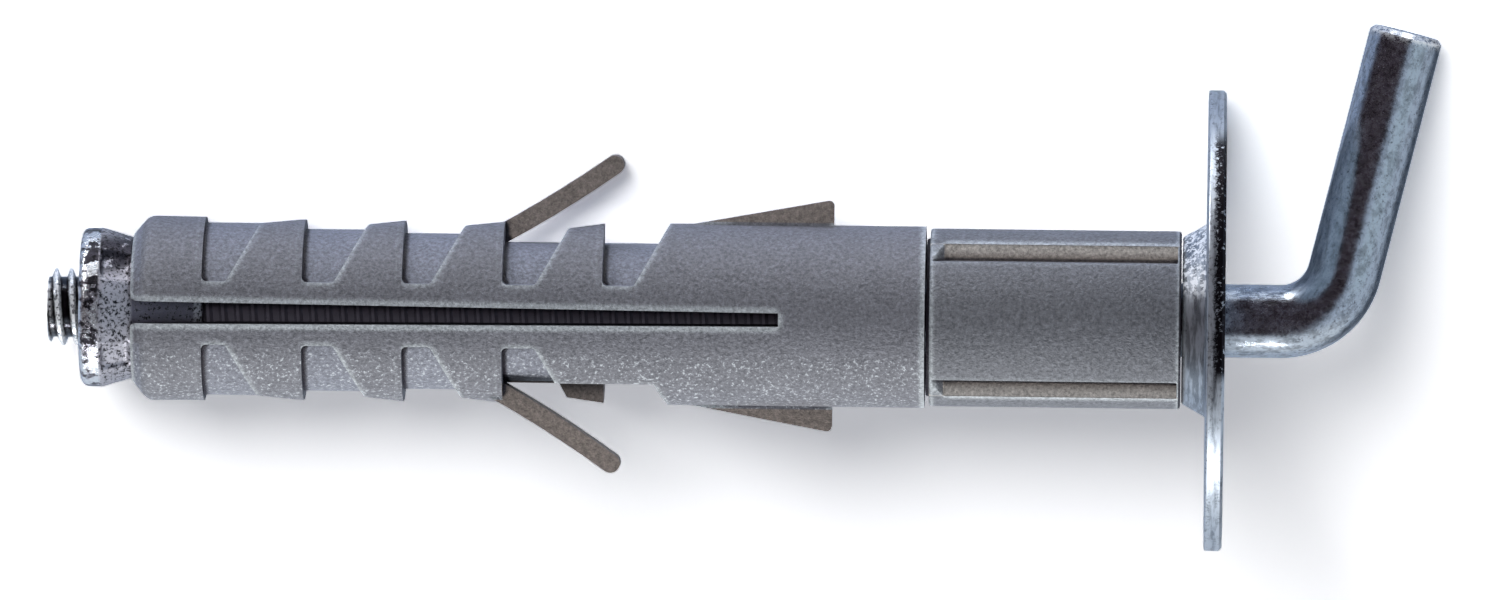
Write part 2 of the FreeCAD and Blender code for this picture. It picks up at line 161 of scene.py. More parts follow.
def linear(hex_value):
    """An sRGB hex value as linear red, green, blue and full alpha."""
    channels = [int(hex_value[i:i + 2], 16) / 255 for i in (0, 2, 4)]
    values = [c / 12.92 if c <= 0.04045 else ((c + 0.055) / 1.055) ** 2.4 for c in channels]
    return (*values, 1.0)


class PlugSizes(bpy.types.PropertyGroup):
    """Sizes that a user would change."""

    thread_depth: bpy.props.FloatProperty(
        name="Thread Depth", description="Height of the rolled thread's ridges",
        default=0.55 * MM, unit="LENGTH", precision=5,
    )
    thread_radius: bpy.props.FloatProperty(
        name="Thread Radius", description="Outer radius of the rolled thread",
        default=2.575 * MM, unit="LENGTH", precision=5,
    )
    thread_length: bpy.props.FloatProperty(
        name="Thread Length", description="Length of the threaded stretch from the tip",
        default=52.0 * MM, unit="LENGTH", precision=5,
    )
    tip_chamfer: bpy.props.FloatProperty(
        name="Tip Chamfer", description="Bevel at the threaded tip",
        default=0.4 * MM, unit="LENGTH", precision=5,
    )
    arm_end_bevel: bpy.props.FloatProperty(
        name="Arm End Bevel", description="Bevelled edge at the hook's tip",
        default=0.3 * MM, unit="LENGTH", precision=5,
    )
    moulded_edge: bpy.props.FloatProperty(
        name="Moulded Edge", description="Rounding on the nylon sleeve's edges",
        default=0.08 * MM, unit="LENGTH", precision=5,
    )
    pressed_edge: bpy.props.FloatProperty(
        name="Pressed Edge", description="Rounding on the washer's stamped edges",
        default=0.15 * MM, unit="LENGTH", precision=5,
    )
    casting_grain: bpy.props.FloatProperty(
        name="Casting Grain", description="Height of the die-cast nut's rough skin",
        default=0.06 * MM, unit="LENGTH", precision=5,
    )


class PlugColours(bpy.types.PropertyGroup):
    """Colours that a user would change."""

    nylon: bpy.props.FloatVectorProperty(
        name="Nylon", description="The moulded nylon's grey", size=4, subtype="COLOR",
        min=0, max=1, default=linear("7b7d86"),
    )
    sleeve_nylon: bpy.props.FloatVectorProperty(
        name="Sleeve Nylon", description="The sleeve's slightly darker grey", size=4,
        subtype="COLOR", min=0, max=1, default=linear("74777f"),
    )
    # painted highlight on edges and on the grain's tops
    nylon_highlight: bpy.props.FloatVectorProperty(
        name="Nylon Edge", description="The paler edges that the mould leaves", size=4,
        subtype="COLOR", min=0, max=1, default=linear("b4bbc2"),
    )
    # painted light: the floors between the teeth are drawn lighter and bluer
    nylon_floor_light: bpy.props.FloatVectorProperty(
        name="Nylon Floor", description="The bluer, paler floors between the teeth", size=4,
        subtype="COLOR", min=0, max=1, default=linear("868a97"),
    )
    # painted shade: the tongues and fins are the same nylon, drawn warmer and darker
    nylon_warm_shade: bpy.props.FloatVectorProperty(
        name="Nylon Warm", description="The warmer grey of the tongues and fins", size=4,
        subtype="COLOR", min=0, max=1, default=linear("968c86"),
    )
    # painted light on the groove floors
    nylon_groove_light: bpy.props.FloatVectorProperty(
        name="Nylon Groove", description="The paler grey of the sleeve's grooves", size=4,
        subtype="COLOR", min=0, max=1, default=linear("e6e0da"),
    )
    # painted shade deepening to a groove's inner side
    nylon_groove_shade: bpy.props.FloatVectorProperty(
        name="Nylon Dusk", description="The brown that deepens to a groove's inner side", size=4,
        subtype="COLOR", min=0, max=1, default=linear("7d726c"),
    )
    # painted shade in the slot, beside the teeth, in corners and in the sleeve's gaps
    nylon_shade: bpy.props.FloatVectorProperty(
        name="Nylon Shade", description="The dark that gathers in slots and corners", size=4,
        subtype="COLOR", min=0, max=1, default=linear("231f29"),
    )
    # painted shade: the thread and cone inside the plug are drawn dark and dull
    shaded_metal: bpy.props.FloatVectorProperty(
        name="Oiled Metal", description="Thread and cone inside the plug, dull with oil", size=4,
        subtype="COLOR", min=0, max=1, default=linear("7c7886"),
    )
    zinc_plate: bpy.props.FloatVectorProperty(
        name="Zinc Plate", description="Bright zinc plate on steel", size=4,
        subtype="COLOR", min=0, max=1, default=linear("c6ced8"),
    )
    # wears bright on edges and crests, partly a painted highlight; on the washer's collar only a painted highlight
    zinc_wear_and_glint: bpy.props.FloatVectorProperty(
        name="Zinc Bright", description="Zinc rubbed bright on edges and crests", size=4,
        subtype="COLOR", min=0, max=1, default=linear("e9edf2"),
    )
    zinc_dull: bpy.props.FloatVectorProperty(
        name="Zinc Dull", description="Zinc plate dulled by the press", size=4,
        subtype="COLOR", min=0, max=1, default=linear("8e959e"),
    )
    # darker specks in the plate; on the nut it also paints shade and a dark reflection
    zinc_stain_and_shade: bpy.props.FloatVectorProperty(
        name="Zinc Stain", description="Darker specks in the zinc plate", size=4,
        subtype="COLOR", min=0, max=1, default=linear("5c5a60"),
    )
    cast_zinc: bpy.props.FloatVectorProperty(
        name="Cast Zinc", description="The die-cast nut's grey", size=4,
        subtype="COLOR", min=0, max=1, default=linear("c2c0c9"),
    )
    # dark pits; in the thread's valleys it paints shade
    pits_and_shade: bpy.props.FloatVectorProperty(
        name="Casting Pits", description="Dark pits in the casting", size=4,
        subtype="COLOR", min=0, max=1, default=linear("1c191e"),
    )


def sizes():
    """The scene's size settings."""
    return bpy.context.scene.plug_sizes


def colours():
    """The scene's colour settings."""
    return bpy.context.scene.plug_colours


def grey(value):
    """A linear grey with full alpha."""
    return (value, value, value, 1.0)


def per_metre(feature_mm):
    """The noise scale whose features are about this many millimetres across."""
    return 1 / (feature_mm * MM)


def add(tree, kind, values=None, stops=(), **settings):
    """Adds a node with its settings, colour stops and sockets, each a number or a link."""
    node = tree.nodes.new(kind)
    for name, setting in settings.items():
        setattr(node, name, setting)
    for place, (position, colour) in enumerate(stops):
        elements = node.color_ramp.elements
        element = elements[place] if place < 2 else elements.new(position)
        element.position = position
        element.color = colour
    for socket, value in (values or {}).items():
        if isinstance(value, bpy.types.NodeSocket):
            tree.links.new(value, node.inputs[socket])
        else:
            node.inputs[socket].default_value = value
    return node


def new_material(name):
    """An empty node material and its tree."""
    material = bpy.data.materials.new(name)
    material.use_nodes = True
    material.node_tree.nodes.clear()
    return material, material.node_tree


def bolt_point(tree):
    """A shader's place in the bolt's frame, in metres, from Object coordinates."""
    inverse = BOLT.inverted()
    return add(tree, "ShaderNodeMapping", {
        "Vector": add(tree, "ShaderNodeTexCoord").outputs["Object"],
        "Rotation": inverse.to_euler(), "Location": inverse.translation,
    }).outputs["Vector"]


def soft_mask(tree, *limits):
    """1 where every (value, outside, inside) limit holds, with soft edges between them."""
    mask = None
    for value, outside, inside in limits:
        step = add(tree, "ShaderNodeMapRange", {
            "Value": value, "From Min": outside, "From Max": inside,
        }, interpolation_type="SMOOTHSTEP").outputs["Result"]
        if mask is None:
            mask = step
        else:
            mask = add(tree, "ShaderNodeMath", {0: mask, 1: step}, operation="MULTIPLY").outputs[0]
    return mask


def across_axis(tree, where):
    """The distance from the bolt's axis."""
    flat = add(tree, "ShaderNodeVectorMath", {0: where, 1: (0, 1, 1)}, operation="MULTIPLY")
    return add(tree, "ShaderNodeVectorMath", {
        0: flat.outputs[0],
    }, operation="LENGTH").outputs["Value"]


def nearness(tree, inside, reach_mm):
    """How near a point is to an outer edge (inside) or to an inner corner, from 0 to about 0.5."""
    open_share = add(tree, "ShaderNodeAmbientOcclusion", {
        "Distance": reach_mm * MM,
    }, samples=8, inside=inside, only_local=True).outputs["AO"]
    return add(tree, "ShaderNodeMath", {0: 1.0, 1: open_share}, operation="SUBTRACT").outputs[0]


def plug_marks(tree, where, grain, pale, corner):
    """The plug's (mask, colour) marks, all painted light: notch floors painted lighter and bluer, painted glints
    on the grain's tops, painted highlights along its edges, tongues and fins painted a warmer grey as shade, and
    painted shade in the slot and beside each tooth's sheer wall."""
    place = add(tree, "ShaderNodeSeparateXYZ", {"Vector": where})
    x, y, z = place.outputs["X"], place.outputs["Y"], place.outputs["Z"]
    reach = add(tree, "ShaderNodeMath", {0: y}, operation="ABSOLUTE").outputs[0]
    lower = add(tree, "ShaderNodeMath", {0: y, 1: z}, operation="MINIMUM").outputs[0]
    radius = across_axis(tree, where)
    # painted shade: the tongues' bed, and the tongues and fins that stand proud, are the same nylon drawn warmer
    # and darker
    in_bed = soft_mask(
        tree, (x, BED_START_X - BLUR, BED_START_X + BLUR), (x, BED_END_X + BLUR, BED_END_X - BLUR),
        (reach, BED_HEIGHT, BED_HEIGHT + 2 * BLUR), (lower, BLUR, -BLUR),
        (z, TONGUE_FAR_SIDE - BLUR, TONGUE_FAR_SIDE + BLUR),
    )
    proud = soft_mask(tree, (radius, PLUG_RADIUS + 3 * BLUR, PLUG_RADIUS + 5 * BLUR))
    warm_shade = add(tree, "ShaderNodeMath", {0: in_bed, 1: proud}, operation="MAXIMUM").outputs[0]
    # painted shade inside the slot
    slot = soft_mask(
        tree, (reach, SLOT_HALF_WIDTH + 3 * BLUR, SLOT_HALF_WIDTH + BLUR),
        (radius, PLUG_RADIUS - 0.5 * MM, PLUG_RADIUS - 0.9 * MM),
    )
    past_first = add(tree, "ShaderNodeMath", {
        0: x, 1: FIRST_NOTCH_X,
    }, operation="SUBTRACT").outputs[0]
    tooth = add(tree, "ShaderNodeMath", {
        0: past_first, 1: TOOTH_PITCH,
    }, operation="DIVIDE").outputs[0]
    phase = add(tree, "ShaderNodeMath", {0: tooth}, operation="FRACT").outputs[0]
    # painted shadow on the notch bottom beside each tooth's sheer wall, where the tooth shades it
    steep_shadow = soft_mask(
        tree, (corner, 0.06, 0.22), (phase, 0.08, 0.05),
        (tooth, -0.1, 0.0), (tooth, TOOTH_COUNT, TOOTH_COUNT - 0.5),
    )
    # the sharp crest before each sheer wall takes no painted edge highlight
    crest = soft_mask(
        tree, (phase, 0.93, 0.96), (tooth, TOOTH_COUNT, TOOTH_COUNT - 1.0),
        (reach, NOTCH_SIDE - 2 * BLUR, NOTCH_SIDE + 2 * BLUR),
    )
    off_crest = add(tree, "ShaderNodeMath", {0: 1.0, 1: crest}, operation="SUBTRACT").outputs[0]
    edges = add(tree, "ShaderNodeMath", {0: pale, 1: off_crest}, operation="MULTIPLY").outputs[0]
    # painted light: the notch floors are drawn lighter and bluer, as if lit
    floor_light = soft_mask(
        tree, (radius, PLUG_RADIUS - 4 * BLUR, PLUG_RADIUS - 7 * BLUR),
        (reach, NOTCH_SIDE, NOTCH_SIDE + 4 * BLUR),
    )
    # painted glints: on the -y side the grain's tops are painted pale, standing in for the near-side light they
    # would catch
    glinting = soft_mask(tree, (grain, 0.56, 0.71), (y, -2.1 * MM, -3.0 * MM))
    return (
        (floor_light, colours().nylon_floor_light), (glinting, colours().nylon_highlight),
        (edges, colours().nylon_highlight), (warm_shade, colours().nylon_warm_shade),
        (slot, colours().nylon_shade), (steep_shadow, colours().nylon_shade),
    )


def sleeve_marks(tree, where, grain, pale, corner):
    """The sleeve's (mask, colour) marks, all painted light: highlights along its edges, groove floors painted
    paler with painted shade deepening to their inner side, and painted shade in corners and in the gaps at both
    ends.
    """
    place = add(tree, "ShaderNodeSeparateXYZ", {"Vector": where}).outputs
    reach, height = (
        add(tree, "ShaderNodeMath", {0: place[axis]}, operation="ABSOLUTE").outputs[0]
        for axis in ("Y", "Z")
    )
    inner = GROOVE_OFFSET - GROOVE_HALF_WIDTH
    outer = GROOVE_OFFSET + GROOVE_HALF_WIDTH
    # painted light: the groove floors are drawn paler
    groove = soft_mask(
        tree, (reach, inner - BLUR, inner + BLUR), (reach, outer + BLUR, outer - BLUR),
        (height, GROOVE_FLOOR_HEIGHT + 6 * BLUR, GROOVE_FLOOR_HEIGHT + 4 * BLUR),
    )
    # painted shade deepening towards the groove's inner side
    groove_shade = soft_mask(tree, (reach, outer - 3 * BLUR, inner), (groove, 0.0, 1.0))
    # painted shade in the groove's inner corner
    shaded = soft_mask(tree, (reach, inner + 6 * BLUR, inner + 3 * BLUR), (corner, 0.1, 0.3))
    # painted shade in the gaps at the spigot's shoulder and at the far end
    shoulder = SLEEVE_START_X + SPIGOT_LENGTH
    start = soft_mask(tree, (place["X"], shoulder + BLUR, shoulder - BLUR))
    end = soft_mask(tree, (place["X"], SLEEVE_END_X - 4 * BLUR, SLEEVE_END_X - 2 * BLUR))
    joint = add(tree, "ShaderNodeMath", {0: start, 1: end}, operation="MAXIMUM").outputs[0]
    return (
        (pale, colours().nylon_highlight), (groove, colours().nylon_groove_light),
        (groove_shade, colours().nylon_groove_shade), (shaded, colours().nylon_shade),
        (joint, colours().nylon_shade),
    )


def moulded_nylon(name, colour, marks):
    """Polyamide 6 from a spark-eroded mould: dull grey with fine grain, painted highlights on its edges and
    painted shade in its corners.

    The marks function gets the grain, the outer edges for painted highlights and the inner corners for painted
    shade, and takes what its piece needs."""
    material, tree = new_material(name)
    where = bolt_point(tree)
    # the mould's real grain is about 0.1 mm, drawn at 0.24 mm so that it shows in the render
    grain = add(tree, "ShaderNodeTexNoise", {
        "Vector": where, "Scale": per_metre(0.24), "Detail": 2.0, "Roughness": 0.8,
    }).outputs["Fac"]
    cloud = add(tree, "ShaderNodeTexNoise", {
        "Vector": where, "Scale": per_metre(2.5), "Detail": 2.0, "Roughness": 0.5,
    }).outputs["Fac"]
    # painted highlight along outer edges
    pale = soft_mask(tree, (nearness(tree, True, 0.55), 0.04, 0.3))
    tone = tuple(colour)
    # the inner corners are passed on for painted shade
    for mask, mark in marks(tree, where, grain, pale, nearness(tree, False, 0.5)):
        tone = add(tree, "ShaderNodeMix", {
            "Factor": mask, "A": tone, "B": tuple(mark),
        }, data_type="RGBA").outputs["Result"]
    for height, stops in (
        (grain, [(0.34, grey(0.45)), (0.46, grey(0.66)), (0.56, grey(0.78)), (0.66, grey(1.0))]),
        (cloud, [(0.3, grey(0.93)), (0.7, grey(1.0))]),
    ):
        shade = add(tree, "ShaderNodeValToRGB", {"Fac": height}, stops=stops).outputs["Color"]
        tone = add(tree, "ShaderNodeMix", {
            "Factor": 1.0, "A": tone, "B": shade,
        }, data_type="RGBA", blend_type="MULTIPLY").outputs["Result"]
    bump = add(tree, "ShaderNodeBump", {
        "Height": grain, "Strength": 1.0, "Distance": 0.1 * MM,
    }).outputs["Normal"]
    surface = add(tree, "ShaderNodeBsdfPrincipled", {
        "Base Color": tone, "Roughness": 0.5, "IOR": 1.53, "Normal": bump,
    })
    add(tree, "ShaderNodeOutputMaterial", {"Surface": surface.outputs["BSDF"]})
    return material


def thread_marks(tree, where, streaks, worn_glint):
    """The thread's (mask, colour, metallic) marks: crests that wear bright with a painted highlight, painted shade
    in the valleys, and the thread inside the plug dulled and darkened as painted shade.
    """
    along = add(tree, "ShaderNodeSeparateXYZ", {"Vector": where}).outputs["X"]
    # painted shade: the thread inside the plug is drawn dark and dull
    plug_shade = soft_mask(tree, (along, NUT_FACE_X + 1.0 * MM, NUT_FACE_X + 1.5 * MM))
    # painted shade in the thread's valleys
    valley_shade = soft_mask(tree, (nearness(tree, False, 0.5), 0.04, 0.22))
    return (
        (worn_glint, colours().zinc_wear_and_glint, 0.3), (valley_shade, colours().pits_and_shade, 1.0),
        (plug_shade, colours().shaded_metal, 0.5),
    )


def bar_marks(tree, where, streaks, worn_glint):
    """The bar's (mask, colour, metallic) marks: edges that wear bright, with a painted highlight."""
    return ((worn_glint, colours().zinc_wear_and_glint, 0.3),)


def washer_marks(tree, where, streaks, worn_glint):
    """The washer's (mask, colour, metallic) marks: a burnished plate edge as a press leaves it, torn and dark on
    the side away from the wall, edges that wear bright with a painted highlight, and a painted highlight on the
    collar's upper side."""
    place = add(tree, "ShaderNodeSeparateXYZ", {"Vector": where})
    x, y = place.outputs["X"], place.outputs["Y"]
    tear = add(tree, "ShaderNodeTexNoise", {
        "Vector": where, "Scale": per_metre(0.35), "Detail": 4.0, "Roughness": 0.7,
    }).outputs["Fac"]
    ragged = add(tree, "ShaderNodeMath", {
        0: tear, 1: 1.6 * MM, 2: x,
    }, operation="MULTIPLY_ADD").outputs[0]
    radius = across_axis(tree, where)
    edge = soft_mask(tree, (radius, WASHER_RADIUS - 0.5 * MM, WASHER_RADIUS - 0.3 * MM))
    tear_start = PLATE_FACE_X / 2 + 0.55 * MM
    torn = soft_mask(
        tree, (edge, 0.0, 1.0), (ragged, tear_start, tear_start + 0.3 * MM),
        (y, -3.5 * MM, -2.5 * MM), (y, 13.4 * MM, 12.0 * MM), (tear, 0.64, 0.58),
    )
    collar = soft_mask(tree, (x, 0.0, -0.1 * MM))
    # painted highlight on the collar's upper side, broken up by the noise
    drawn = soft_mask(tree, (collar, 0.0, 1.0), (y, 1.4 * MM, 2.6 * MM), (tear, 0.49, 0.52))
    pressed = add(tree, "ShaderNodeMath", {0: edge, 1: collar}, operation="MAXIMUM").outputs[0]
    burnished = soft_mask(tree, (pressed, 0.0, 1.0), (streaks, 0.42, 0.6))
    return (
        (collar, colours().zinc_dull, 0.88), (edge, colours().zinc_dull, 0.94),
        (burnished, colours().zinc_plate, 0.92), (worn_glint, colours().zinc_plate, 0.8),
        (torn, colours().pits_and_shade, 0.9), (drawn, colours().zinc_wear_and_glint, 0.3),
    )


def plated_steel(name, stretch, darkest, gloss_between, marks):
    """Bright zinc plate on drawn, rolled or pressed steel: bluish, streaked, with dull specks.

    The streaks follow the stretch, and their lows are as dark as `darkest` says. The marks function gets the
    streaks and the edges that wear bright, with a painted highlight, and takes what its piece needs."""
    material, tree = new_material(name)
    where = bolt_point(tree)
    # drawing, rolling and pressing leave lines finer than 0.1 mm, drawn coarser to show here
    drawn = add(tree, "ShaderNodeMapping", {"Vector": where, "Scale": stretch})
    streaks = add(tree, "ShaderNodeTexNoise", {
        "Vector": drawn.outputs["Vector"], "Scale": per_metre(STREAK_MM), "Detail": 4.0,
        "Roughness": 0.65,
    }).outputs["Fac"]
    spots = add(tree, "ShaderNodeTexNoise", {
        "Vector": where, "Scale": per_metre(0.25), "Detail": 5.0, "Roughness": 0.8,
    }).outputs["Fac"]
    tint = add(tree, "ShaderNodeValToRGB", {"Fac": spots}, stops=[
        (0.32, tuple(colours().zinc_stain_and_shade)), (0.44, tuple(colours().zinc_plate)),
    ]).outputs["Color"]
    streaked = add(tree, "ShaderNodeValToRGB", {"Fac": streaks}, stops=[
        (0.36, grey(darkest)), (0.56, grey(1.0)),
    ]).outputs["Color"]
    tint = add(tree, "ShaderNodeMix", {
        "Factor": 1.0, "A": tint, "B": streaked,
    }, data_type="RGBA", blend_type="MULTIPLY").outputs["Result"]
    # edges that wear bright, and a painted highlight on them
    worn_glint = soft_mask(tree, (nearness(tree, True, 0.6), 0.04, 0.18), (spots, 0.42, 0.5))
    metallic = 1.0
    for mask, colour, share in marks(tree, where, streaks, worn_glint):
        tint = add(tree, "ShaderNodeMix", {
            "Factor": mask, "A": tint, "B": tuple(colour),
        }, data_type="RGBA").outputs["Result"]
        metallic = add(tree, "ShaderNodeMix", {
            "Factor": mask, "A": metallic, "B": share,
        }).outputs["Result"]
    gloss = add(tree, "ShaderNodeMapRange", {
        "Value": streaks, "From Min": 0.3, "From Max": 0.7,
        "To Min": gloss_between[0], "To Max": gloss_between[1],
    }).outputs["Result"]
    drawn_bump = add(tree, "ShaderNodeBump", {
        "Height": streaks, "Strength": 0.35, "Distance": 0.03 * MM,
    }).outputs["Normal"]
    bump = add(tree, "ShaderNodeBump", {
        "Height": spots, "Strength": 0.25, "Distance": 0.03 * MM, "Normal": drawn_bump,
    }).outputs["Normal"]
    surface = add(tree, "ShaderNodeBsdfPrincipled", {
        "Base Color": tint, "Metallic": metallic, "Roughness": gloss, "Normal": bump,
    })
    add(tree, "ShaderNodeOutputMaterial", {"Surface": surface.outputs["BSDF"]})
    return material


def die_cast_zinc():
    """Tumbled zinc die-casting: granular grey skin with dark pits, a rim that wears bright with a painted
    highlight, a painted dark reflection on the rest of the rim, and painted shade on the arm's side and inside the
    plug.
    """
    material, tree = new_material("zinc_die_cast_tumbled")
    where = bolt_point(tree)
    pits = add(tree, "ShaderNodeTexNoise", {
        "Vector": where, "Scale": per_metre(0.26), "Detail": 5.0, "Roughness": 0.8,
    }).outputs["Fac"]
    tint = add(tree, "ShaderNodeValToRGB", {"Fac": pits}, stops=[
        (0.42, tuple(colours().pits_and_shade)), (0.5, tuple(colours().cast_zinc)),
    ]).outputs["Color"]
    place = add(tree, "ShaderNodeSeparateXYZ", {"Vector": where}).outputs
    along, side = place["X"], place["Y"]
    # the rim and the nose rub bright in the tumbling drum, the rim with a painted highlight, and painted shade
    # darkens the cone inside the plug
    rim_end = NUT_FACE_X + 1.35 * MM
    rim = soft_mask(tree, (along, rim_end + 0.15 * MM, rim_end - 0.15 * MM))
    scuffs = add(tree, "ShaderNodeTexNoise", {
        "Vector": where, "Scale": per_metre(1.1), "Detail": 4.0, "Roughness": 0.7,
    }).outputs["Fac"]
    worn_glint = soft_mask(tree, (rim, 0.0, 1.0), (scuffs, 0.47, 0.52))
    hidden_shade = soft_mask(
        tree, (along, PLUG_MOUTH_X - 0.1 * MM, PLUG_MOUTH_X + 0.2 * MM),
        (along, NUT_NOSE_X - 0.5 * MM, NUT_NOSE_X - 0.7 * MM), (pits, 0.4, 0.52),
    )
    toned = add(tree, "ShaderNodeMix", {
        "Factor": hidden_shade, "A": tint, "B": tuple(colours().shaded_metal),
    }, data_type="RGBA").outputs["Result"]
    # painted shade darkens a band on the arm's side, and a painted dark reflection darkens the rim where it
    # doesn't rub bright
    shade_band = soft_mask(
        tree, (side, 1.8 * MM, 3.2 * MM), (side, 5.4 * MM, 4.4 * MM), (scuffs, 0.36, 0.46),
    )
    rim_dark = soft_mask(tree, (rim, 0.0, 1.0), (scuffs, 0.46, 0.42))
    for mask in (shade_band, rim_dark):
        toned = add(tree, "ShaderNodeMix", {
            "Factor": mask, "A": toned, "B": tuple(colours().zinc_stain_and_shade),
        }, data_type="RGBA", blend_type="MULTIPLY").outputs["Result"]
    bright = add(tree, "ShaderNodeMix", {
        "Factor": worn_glint, "A": toned, "B": tuple(colours().zinc_wear_and_glint),
    }, data_type="RGBA").outputs["Result"]
    gloss = add(tree, "ShaderNodeMapRange", {
        "Value": rim, "From Min": 0.0, "From Max": 1.0, "To Min": 0.42, "To Max": 0.14,
    }).outputs["Result"]
    bump = add(tree, "ShaderNodeBump", {
        "Height": pits, "Strength": 0.6, "Distance": 0.07 * MM,
    }).outputs["Normal"]
    surface = add(tree, "ShaderNodeBsdfPrincipled", {
        "Base Color": bright, "Metallic": 0.85, "Roughness": gloss, "Normal": bump,
    })
    add(tree, "ShaderNodeOutputMaterial", {"Surface": surface.outputs["BSDF"]})
    return material


def white_table():
    """Matt white card: the camera sees it white, and it keeps the part's shadow."""
    material, tree = new_material("card_matt_white")
    # the card faces the key lamp, and is whiter than paper to the camera alone, so that it
    # comes out white and keeps its shadows
    toward_key = add(tree, "ShaderNodeNormal")
    toward_key.outputs["Normal"].default_value = (BOLT.to_3x3() @ KEY_FROM).normalized()
    card = add(tree, "ShaderNodeBsdfDiffuse", {
        "Color": grey(CARD_WHITENESS), "Normal": toward_key.outputs["Normal"],
    })
    glow = add(tree, "ShaderNodeEmission", {"Color": linear("f2f2fb"), "Strength": CARD_GLOW})
    shown = add(tree, "ShaderNodeAddShader", {0: card.outputs[0], 1: glow.outputs[0]})
    bounce = add(tree, "ShaderNodeBsdfDiffuse", {"Color": linear("dcdce0")})
    seen = add(tree, "ShaderNodeMixShader", {
        "Fac": add(tree, "ShaderNodeLightPath").outputs["Is Camera Ray"],
        1: bounce.outputs[0], 2: shown.outputs[0],
    })
    add(tree, "ShaderNodeOutputMaterial", {"Surface": seen.outputs[0]})
    return material


def only(obj):
    """Makes one object the active and only selected one, in object mode."""
    for other in bpy.context.selected_objects:
        other.select_set(False)
    obj.select_set(True)
    bpy.context.view_layer.objects.active = obj


def edit(obj):
    """Opens an object in edit mode with nothing selected."""
    only(obj)
    bpy.ops.object.mode_set(mode="EDIT")
    bpy.ops.mesh.select_all(action="DESELECT")


def done():
    """Leaves edit mode."""
    bpy.ops.object.mode_set(mode="OBJECT")


def select_vertices(obj, test):
    """Selects the vertices that pass a test, and the edges and faces between them."""
    bpy.ops.mesh.select_mode(type="VERT")
    mesh = bmesh.from_edit_mesh(obj.data)
    for vertex in mesh.verts:
        vertex.select_set(test(vertex.co))
    mesh.select_flush_mode()
    bmesh.update_edit_mesh(obj.data)


def apply_modifier(obj, kind, **settings):
    """Adds a modifier with its settings and applies it."""
    only(obj)
    modifier = obj.modifiers.new(kind.title(), kind)
    for name, value in settings.items():
        setattr(modifier, name, value)
    bpy.ops.object.modifier_apply(modifier=modifier.name)


def outward(obj):
    """Merges doubles and turns every face outwards."""
    edit(obj)
    bpy.ops.mesh.select_all(action="SELECT")
    bpy.ops.mesh.remove_doubles(threshold=0.002 * MM)
    bpy.ops.mesh.normals_make_consistent(inside=False)
    done()


def finish_piece(obj, name, material, body, node, smooth_angle=32.0):
    """Names a piece, dresses it, and ties it to its body and its CAD node."""
    obj.name = name
    obj.data.name = name
    obj.data.materials.clear()
    obj.data.materials.append(material)
    only(obj)
    bpy.ops.object.shade_smooth_by_angle(angle=math.radians(smooth_angle))
    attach(obj, body)
    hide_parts(node)


def into_place(obj):
    """Moves a mesh that was modelled in the bolt's frame to where the part lies."""
    only(obj)
    bpy.ops.object.transform_apply(location=True, rotation=True, scale=True)
    obj.data.transform(BOLT)


def copy_of_node(node):
    """A copy of a CAD piece, with its loose triangles merged and its flat faces made whole."""
    copy = bpy.data.objects.new(f"{node}_dressed", frame["nodes"][node].data.copy())
    bpy.context.scene.collection.objects.link(copy)
    edit(copy)
    bpy.ops.mesh.select_all(action="SELECT")
    bpy.ops.mesh.customdata_custom_splitnormals_clear()
    bpy.ops.mesh.remove_doubles(threshold=0.0005 * MM)
    bpy.ops.mesh.dissolve_limited(angle_limit=math.radians(0.3))
    done()
    return copy


def softened(obj, width, angle=32.0, segments=2):
    """Rounds an object's sharp edges, as a mould or a tumbling drum leaves them."""
    apply_modifier(
        obj, "BEVEL", width=width, segments=segments, limit_method="ANGLE",
        angle_limit=math.radians(angle), use_clamp_overlap=False,
        miter_outer="MITER_SHARP", offset_type="OFFSET",
    )
    return obj


class OBJECT_OT_hook_bar(bpy.types.Operator):
    """Models the plain bar: shank, tight bend and leaning arm"""

    bl_idname = "object.wall_plug_hook_bar"
    bl_label = "Hook Bar"

    def execute(self, context):
        arm_end = ARM_MIDDLE + ARM_DIRECTION * (ARM_STRAIGHT / 2 + sizes().arm_end_bevel)
        arm_start = ARM_MIDDLE - ARM_DIRECTION * ARM_STRAIGHT / 2
        turn = math.atan2(ARM_DIRECTION.y, ARM_DIRECTION.x)
        bend_radius = arm_start.y / (1 - math.cos(turn))
        bend_x = arm_start.x - bend_radius * math.sin(turn)
        bar_start = BOLT_TIP_X + sizes().thread_length
        bpy.ops.mesh.primitive_circle_add(
            vertices=64, radius=BAR_RADIUS, fill_type="NOTHING",
            location=(bar_start, 0, 0), rotation=(0, math.pi / 2, 0),
        )
        bar = context.object
        bpy.ops.object.transform_apply(location=True, rotation=True, scale=True)
        edit(bar)
        bpy.ops.mesh.select_all(action="SELECT")
        bpy.ops.mesh.extrude_region_move(
            TRANSFORM_OT_translate={"value": (bend_x - bar_start, 0, 0)}
        )
        bpy.ops.mesh.spin(
            steps=20, angle=-turn, center=(bend_x, bend_radius, 0), axis=(0, 0, 1),
        )
        reach = arm_end - arm_start
        bpy.ops.mesh.extrude_region_move(TRANSFORM_OT_translate={"value": reach})
        bpy.ops.mesh.edge_face_add()
        bpy.ops.mesh.bevel(offset=sizes().arm_end_bevel, segments=1, affect="EDGES")
        select_vertices(bar, lambda co: abs(co.x - bar_start) < IN_PLANE)
        bpy.ops.mesh.edge_face_add()
        done()
        outward(bar)
        into_place(bar)
        plate = plated_steel("steel_drawn_zinc_plated", ALONG_HOOK, 0.55, (0.12, 0.26), bar_marks)
        finish_piece(bar, "hook_bar", plate, "hook", "hook_bolt")
        return {"FINISHED"}


